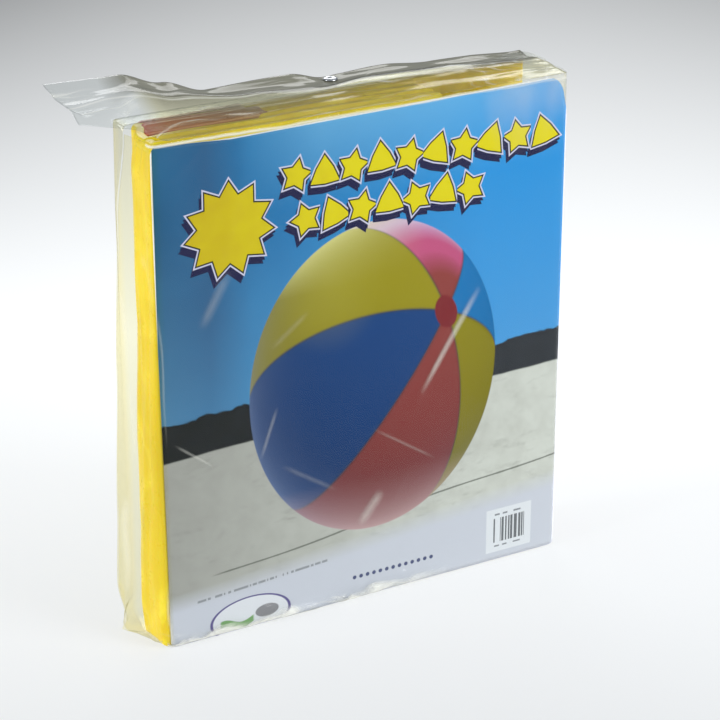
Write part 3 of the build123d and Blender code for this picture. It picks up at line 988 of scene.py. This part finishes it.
def top_fold_point(point, low, high):
    """Shapes the cover over the top: folds that run along it."""
    x, y, z = point
    up = (z - low.z) / (high.z - low.z)
    wander = 3 * MM * waves(x * 7, 2, 0, 60)
    folds = 0.8 * math.sin((y + wander) / MM * 0.55) + 0.5 * math.sin((y - wander) / MM * 1.15 + 1)
    soft = 1.2 * MM * waves(x * 18, y * 70, 0, 61)
    return Vector((x, y, z + (folds * 0.9 * MM + soft - 1.0 * MM) * up))


class BallLeaves(bpy.types.Operator):
    """The six gores of the ball, folded into leaves"""

    bl_idname = "beach_ball.leaves"
    bl_label = "Ball leaves"

    def execute(self, context):
        ball = context.scene.folded_ball
        yellow = vinyl_material("yellow vinyl", tuple(ball.yellow))
        blue = vinyl_material("blue vinyl", tuple(ball.blue))
        red = vinyl_material("red vinyl", tuple(ball.red), cover=(0.42, 0.30, 0.12))
        pink = vinyl_material("pink vinyl", tuple(ball.pink), cover=(0.46, 0.33, 0.12))
        plan = [
            ("gore_blue_a", blue, "vinyl_blue"),
            ("gore_blue_b", blue, "vinyl_blue"),
            ("gore_red", red, "vinyl_red"),
            ("gore_pink", pink, "vinyl_pink"),
            ("gore_yellow_b", yellow, "vinyl_yellow"),
        ]
        for seed, (node, material, slot) in enumerate(plan):
            shape = self.stepped(node, seed) if node != "gore_yellow_b" else back_leaf()
            finished(node.replace("gore", "leaf"), shape, material, "bag", slot, [node])
        finished("leaf_yellow_a", self.front_leaf(), yellow, "bag", "vinyl_yellow", ["gore_yellow_a"])
        return {"FINISHED"}

    def stepped(self, node, seed):
        """A leaf in two blocks: its full width below the valve's pocket, and the part beside the pocket above."""
        low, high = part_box(node)
        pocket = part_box("pole_patch_top")
        depth = bpy.context.scene.folded_ball.fold_depth
        shelf = pocket[0].z - 0.5 * MM
        foot_low, foot_high = low + Vector((1, 0.1, 0.2)) * MM, Vector((high.x - 1 * MM, high.y - 0.1 * MM, shelf))
        foot = folded_edges(pad(foot_low, foot_high, 1.6 * MM, 36), foot_low, foot_high, 4, depth, seed)
        show_high = Vector((pocket[0].x - 6 * MM, high.y - 0.1 * MM, high.z - 0.6 * MM))
        head_low = Vector((foot_low.x, foot_low.y, shelf + 0.2 * MM))
        if node in ("gore_red", "gore_pink"):
            show_high.x = -58 * MM
        head = folded_edges(pad(head_low, show_high, 1.6 * MM, 30), head_low, show_high, 4, depth, seed + 7)
        if node != "gore_pink":
            return joined(foot, head)
        lap_low, lap_high = Vector((low.x + 5 * MM, head_low.y, 0.3475)), Vector((-66 * MM, 25.6 * MM, high.z + 1 * MM))
        lap = pad(lap_low, lap_high, 3.2 * MM, 34)
        for vert in lap.verts:
            vert.co = top_fold_point(vert.co, lap_low, lap_high)
            vert.co.x += left_round(vert.co.y) * max(0, 1 - (vert.co.x - low.x) / 0.05) * 0.2
        return joined(foot, head, lap)

    def front_leaf(self):
        """The front leaf with the fold round the left edge and the covers over the top."""
        low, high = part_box("gore_yellow_a")
        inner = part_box("gore_blue_a")[0]
        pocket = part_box("pole_patch_top")[0]
        depth = bpy.context.scene.folded_ball.fold_depth
        face_low = Vector((inner.x, low.y + 0.2 * MM, low.z + 0.3 * MM))
        face_high = Vector((high.x - 1 * MM, inner.y - 0.3 * MM, high.z - 7 * MM))
        face = folded_edges(pad(face_low, face_high, 1.6 * MM, 40), face_low, face_high, 4, depth, 21)
        side_low = Vector((low.x + 0.3 * MM, low.y + 0.1 * MM, low.z + 0.2 * MM))
        side_high = Vector((inner.x + 3 * MM, high.y - 0.3 * MM, high.z - 0.8 * MM))
        side = pad(side_low, side_high, 3.6 * MM, 56)
        for vert in side.verts:
            vert.co = wrap_point(vert.co, side_low, side_high)
        covers = []
        for near, far, left in ((low.y + 0.1 * MM, -0.4 * MM, low.x + 2 * MM), (-3 * MM, 19.5 * MM, -66 * MM)):
            cover_low = Vector((left, near, high.z - 9 * MM))
            cover_high = Vector((pocket.x - 1 * MM, far, high.z - 0.3 * MM))
            cover = pad(cover_low, cover_high, 3.8 * MM, 48)
            for vert in cover.verts:
                vert.co = top_fold_point(vert.co, cover_low, cover_high)
            covers.append(cover)
        end_low = Vector((pocket.x - 8 * MM, face_low.y, high.z - 14 * MM))
        end_high = Vector((high.x - 0.5 * MM, inner.y + 1 * MM, high.z - 3 * MM))
        end = pad(end_low, end_high, 3.2 * MM, 30)
        for vert in end.verts:
            vert.co = top_fold_point(vert.co, end_low, end_high)
        return joined(face, side, *covers, end)


def slot_reach(angle, straight, radius):
    """Distance from the middle of a rounded slot to its edge, in one direction."""
    along_x, along_y = abs(math.cos(angle)), abs(math.sin(angle))
    if along_y * straight > along_x * radius:
        return radius / along_y
    return straight * along_x + math.sqrt(max(radius**2 - (straight * along_y) ** 2, 0))


def top_patch():
    """The puffed patch round the hollow that the valve is pushed into."""
    low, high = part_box("pole_patch_top")
    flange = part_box("valve_flange")
    middle = (low + high) / 2
    radius = (high.y - low.y) / 2
    straight = (high.x - low.x) / 2 - radius
    hollow = 10.4 * MM
    floor = high.z - 31.8 * MM

    def place(angle, v):
        reach = slot_reach(angle, straight, radius)
        chain = [
            Vector((0, floor)),
            Vector((hollow, floor)),
            Vector((hollow, high.z - 0.3 * MM)),
            Vector((hollow + 1 * MM, high.z)),
            Vector((reach - 7 * MM, high.z - 0.4 * MM)),
            Vector((reach - 1.5 * MM, high.z - 3.5 * MM)),
            Vector((reach, high.z - 10 * MM)),
            Vector((reach, low.z + 3 * MM)),
            Vector((reach - 3 * MM, low.z)),
            Vector((0, low.z)),
        ]
        at = along(chain, v)
        outside = eased(at.x, hollow + 4 * MM, hollow + 7 * MM)
        round_x, round_y = math.cos(angle), math.sin(angle)
        bend = waves(round_x * 2, round_y * 2, at.x * 30, 90)
        pucker = abs(math.sin(angle * 11 + 2 * bend)) * 1.4 + 0.8 * waves(round_x * 3, round_y * 3, at.y * 60, 91)
        if at.y > high.z - 4 * MM:
            at.y -= max(pucker, 0) * outside * MM
        else:
            at.x -= max(pucker, 0) * outside * 0.8 * MM
        return Vector((middle.x + at.x * math.cos(angle), middle.y + at.x * math.sin(angle), at.y))

    assert flange[0].z > high.z
    return turned(96, 120, place)


def bottom_patch():
    """The round patch over the other pole, with its welded rim."""
    low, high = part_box("pole_patch_bottom")
    middle, rim = (low + high) / 2, (high.x - low.x) / 2

    def place(angle, v):
        share = 1 - abs(2 * v - 1)
        reach = rim * share
        x, z = reach * math.cos(angle), reach * math.sin(angle)
        rise = 0.5 + (0.28 if 0.93 < share < 0.975 else 0.0) + 0.12 * waves(x * 60, z * 60, 0, 95)
        return Vector((middle.x + x, low.y + (rise * MM if v > 0.5 else 0.05 * MM), middle.z + z))

    return turned(96, 80, place)


def repair_square(left, right):
    """One loose square of film, which lies a little wavy."""
    low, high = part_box("repair_patches")
    corner = 5 * MM

    def place(u, v):
        x, z = mix(left, right, u), mix(low.z, high.z, v)
        core = Vector((min(max(x, left + corner), right - corner), min(max(z, low.z + corner), high.z - corner)))
        out = Vector((x, z)) - core
        if out.length > corner:
            x, z = core + out.normalized() * corner
        return Vector((x, (low.y + high.y) / 2 + 0.15 * MM * waves(x * 40, z * 40, 0, 97), z))

    return grid(24, 24, place)


class Patches(bpy.types.Operator):
    """The welded pole patches and the loose repair squares"""

    bl_idname = "beach_ball.patches"
    bl_label = "Patches"

    def execute(self, context):
        ball = context.scene.folded_ball
        red = vinyl_material("patch vinyl", tuple(ball.red), crease=0.4)
        finished("top_patch", top_patch(), red, "bag", "vinyl_pad", ["pole_patch_top"])
        finished("bottom_patch", bottom_patch(), red, "bag", "vinyl_red", ["pole_patch_bottom"])
        loose = vinyl_material("loose film", (0.74, 0.76, 0.78), crease=0.2)
        low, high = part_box("repair_patches")
        side = high.z - low.z
        step = (high.x - low.x - side) / 2
        for number in range(3):
            left = low.x + number * step
            finished(
                f"repair_square_{number + 1}", repair_square(left, left + side), loose, "bag", "patch_film",
                ["repair_patches"], thickness=0.28 * MM,
            )
        return {"FINISHED"}


class Valve(bpy.types.Operator):
    """The inflation valve: flange, stem, plug and one-way flap"""

    bl_idname = "beach_ball.valve"
    bl_label = "Valve"

    def execute(self, context):
        milky = vinyl_material("milky vinyl", (0.84, 0.85, 0.83))
        for node in ("valve_flange", "valve_stem", "valve_plug", "check_flap"):
            mesh = frame["nodes"][node].data
            mesh.materials.clear()
            mesh.materials.append(milky)
        return {"FINISHED"}


class Snap(bpy.types.Operator):
    """The snap fastener at the middle of the flap"""

    bl_idname = "beach_ball.snap"
    bl_label = "Snap"

    def execute(self, context):
        metal = metal_material()
        for node in ("snap_socket", "snap_stud", "snap_post"):
            mesh = frame["nodes"][node].data
            mesh.materials.clear()
            mesh.materials.append(metal)
        low, high = SNAP
        radius = (high.x - low.x) / 2
        base = high.z - 1.7 * MM
        profile = [(0, 0.9), (0.22, 1.0), (0.34, 1.35), (0.62, 1.6), (0.86, 1.35), (0.98, 0.8), (1.0, 0.35), (0.93, 0.02), (0.0, 0.0)]
        shape = bmesh.new()
        ring = [shape.verts.new((SNAP_X + r * radius, SNAP_Y, base + h * MM)) for r, h in profile]
        for a, b in zip(ring, ring[1:]):
            shape.edges.new((a, b))
        bmesh.ops.spin(
            shape, geom=shape.verts[:] + shape.edges[:], cent=(SNAP_X, SNAP_Y, 0), axis=(0, 0, 1),
            angle=math.tau, steps=48, use_merge=True, dvec=(0, 0, 0),
        )
        bmesh.ops.remove_doubles(shape, verts=shape.verts, dist=0.01 * MM)
        finished("snap_button", shape, metal, "closure_flap", "snap_metal", ["snap_cap"])
        return {"FINISHED"}


# --- The card -----------------------------------------------------------------------------------------
CARD_TOP = [(-0.152, 0.3552), (-0.135, 0.353), (-0.10, 0.3515), (0.0, 0.353), (0.06, 0.3538), (0.152, 0.3549)]


def card_point(u, v):
    """Point of the card, which bows a little, leans out towards its top and has rounded corners."""
    low, high = CARD
    x, z = mix(low.x, high.x, u), mix(low.z, high.z, v)
    radius = mix(4, 12 if u > 0.5 else 7, eased(v, 0.4, 0.6)) * MM
    core = Vector((min(max(x, low.x + radius), high.x - radius), min(max(z, low.z + radius), high.z - radius)))
    out = Vector((x, z)) - core
    if out.length > radius:
        x, z = core + out.normalized() * radius
    z += (curve_value(CARD_TOP, x) - high.z) * v ** 3
    spread = mix(-3.4 * eased(z, 0.02, 0.33), 3.2 - 4 * eased(z, 0.325, 0.353), u) * MM
    bow = 0.22 * MM * waves(x * 12, z * 5, 0, 70)
    return Vector((x + spread, (low.y + high.y) / 2 + bow, z))


class Card(bpy.types.Operator):
    """The printed card in front of the ball"""

    bl_idname = "beach_ball.card"
    bl_label = "Printed card"

    def execute(self, context):
        shape = grid(110, 128, card_point)
        finished("printed_card", shape, print_material(), "bag", "printed_card", ["card_insert"], thickness=0.35 * MM)
        return {"FINISHED"}


# --- Stage --------------------------------------------------------------------------------------------
class Stage(bpy.types.Operator):
    """White floor, soft lights and the camera"""

    bl_idname = "beach_ball.stage"
    bl_label = "Stage"

    def execute(self, context):
        settings = context.scene.ball_stage
        floor = finished("floor", grid(8, 8, lambda u, v: Vector((u - 0.5, v - 0.5, 0)) * 16), self.paper(), None, "")
        self.light("left", (-2.2, 0.1, 0.75), (-0.15, 0, 0.2), (0.9, 1.5), 34)
        self.light("front", (1.3, -2.0, 1.3), (0.05, 0, 0.2), (1.5, 1.5), 58)
        self.light("rear", (0.8, 2.2, 1.5), (0, 0, 0.3), (1.8, 0.8), 16)
        world = bpy.data.worlds.new("studio")
        world.use_nodes = True
        world.node_tree.nodes["Background"].inputs["Color"].default_value = (0.88, 0.94, 1.0, 1)
        world.node_tree.nodes["Background"].inputs["Strength"].default_value = 0.42
        context.scene.world = world
        view = bpy.data.cameras.new("camera")
        view.lens, view.sensor_width, view.clip_start = settings.lens, 36, 0.05
        camera = bpy.data.objects.new("camera", view)
        camera.location = settings.camera_place
        aim = Vector(settings.camera_aim) - Vector(settings.camera_place)
        camera.rotation_euler = aim.to_track_quat("-Z", "Y").to_euler()
        context.scene.collection.objects.link(camera)
        context.scene.camera = camera
        context.scene.view_settings.view_transform = "Standard"
        return {"FINISHED"}

    def paper(self):
        """White paper that glows by itself, with a painted pool of light: brightest near the object and fading to grey
        away from it.
        """
        material, tree, output = blank_material("white paper")
        x, y, _, _ = place_fields(tree)
        depth, across = (x * 0.5 + y * 0.866) / 1000, (x * 0.866 - y * 0.5) / 1000 - 0.15
        # lit is the painted pool of light, which sets both the paper's colour and its glow
        lit = (1.45 - depth * 0.53).least(depth * 0.5 + 0.98).least(1.25).most(0.45)
        lit = lit * (1 - across * across * (depth * 0.6).most(0)).most(0.6) / 1.25
        surface(
            tree,
            output,
            Base_Color=lay(tree, (0, 0, 0), (0.29, 0.295, 0.30), lit),
            Roughness=0.7,
            Specular_IOR_Level=0.0,
            Emission_Color=lay(tree, (0, 0, 0), (0.97, 0.99, 1.0), lit),
            Emission_Strength=bpy.context.scene.ball_stage.floor_glow,
        )
        return material

    def light(self, name, place, aim, size, power):
        lamp = bpy.data.lights.new(name, "AREA")
        lamp.shape, lamp.size, lamp.size_y, lamp.energy = "RECTANGLE", *size, power
        piece = bpy.data.objects.new(name, lamp)
        piece.location = place
        piece.rotation_euler = (Vector(aim) - Vector(place)).to_track_quat("-Z", "Y").to_euler()
        bpy.context.scene.collection.objects.link(piece)


class BeachBallPanel(bpy.types.Panel):
    """Lists the pieces in the order in which they are built"""

    bl_idname = "VIEW3D_PT_beach_ball"
    bl_label = "Folded beach ball"
    bl_space_type = "VIEW_3D"
    bl_region_type = "UI"
    bl_category = "Beach Ball"

    def draw(self, context):
        for group in SETTINGS:
            settings = getattr(context.scene, group)
            for key in settings.bl_rna.properties.keys():
                if key not in ("rna_type", "name"):
                    self.layout.prop(settings, key)
        for operator in OPERATORS:
            self.layout.operator(operator.bl_idname)


SETTINGS = {
    "film_bag": FilmSettings,
    "folded_ball": BallSettings,
    "printed_card": PrintSettings,
    "ball_stage": StageSettings,
}
OPERATORS = [BallLeaves, Patches, Valve, Card, BagWalls, BagMouth, Snap, Stage]


def register():
    for item in (*SETTINGS.values(), *OPERATORS, BeachBallPanel):
        bpy.utils.register_class(item)
    for name, group in SETTINGS.items():
        setattr(bpy.types.Scene, name, bpy.props.PointerProperty(type=group))


def unregister():
    for name in SETTINGS:
        delattr(bpy.types.Scene, name)
    for item in reversed((*SETTINGS.values(), *OPERATORS, BeachBallPanel)):
        bpy.utils.unregister_class(item)


def main():
    register()
    for operator in OPERATORS:
        group, name = operator.bl_idname.split(".")
        getattr(getattr(bpy.ops, group), name)()


if __name__ == "__main__":
    main()
